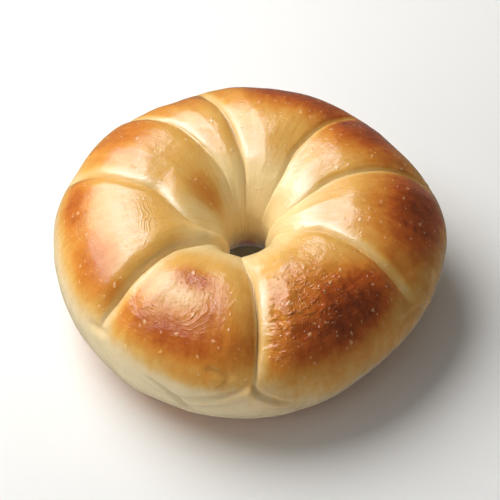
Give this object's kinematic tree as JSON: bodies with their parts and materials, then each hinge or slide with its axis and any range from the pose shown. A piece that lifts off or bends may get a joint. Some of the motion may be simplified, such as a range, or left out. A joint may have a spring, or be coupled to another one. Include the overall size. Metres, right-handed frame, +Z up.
{
  "type": "ring-shaped dinner roll",
  "caption": "Soft baked ring roll with a glossy brown crust, pinched across into rounded lobes round a small hole.",
  "frame": {"origin": "middle of the roll's footprint, on the surface that it rests on", "axes": "+Z up, through the hole; -Y towards the side where the two largest front lobes meet; +X to the right seen from that side"},
  "size_m": [0.1052, 0.105, 0.0382],
  "materials": {
    "crust": "satin"
  },
  "bodies": {
    "root": {"ring_roll": "crust"}
  },
  "joints": []
}
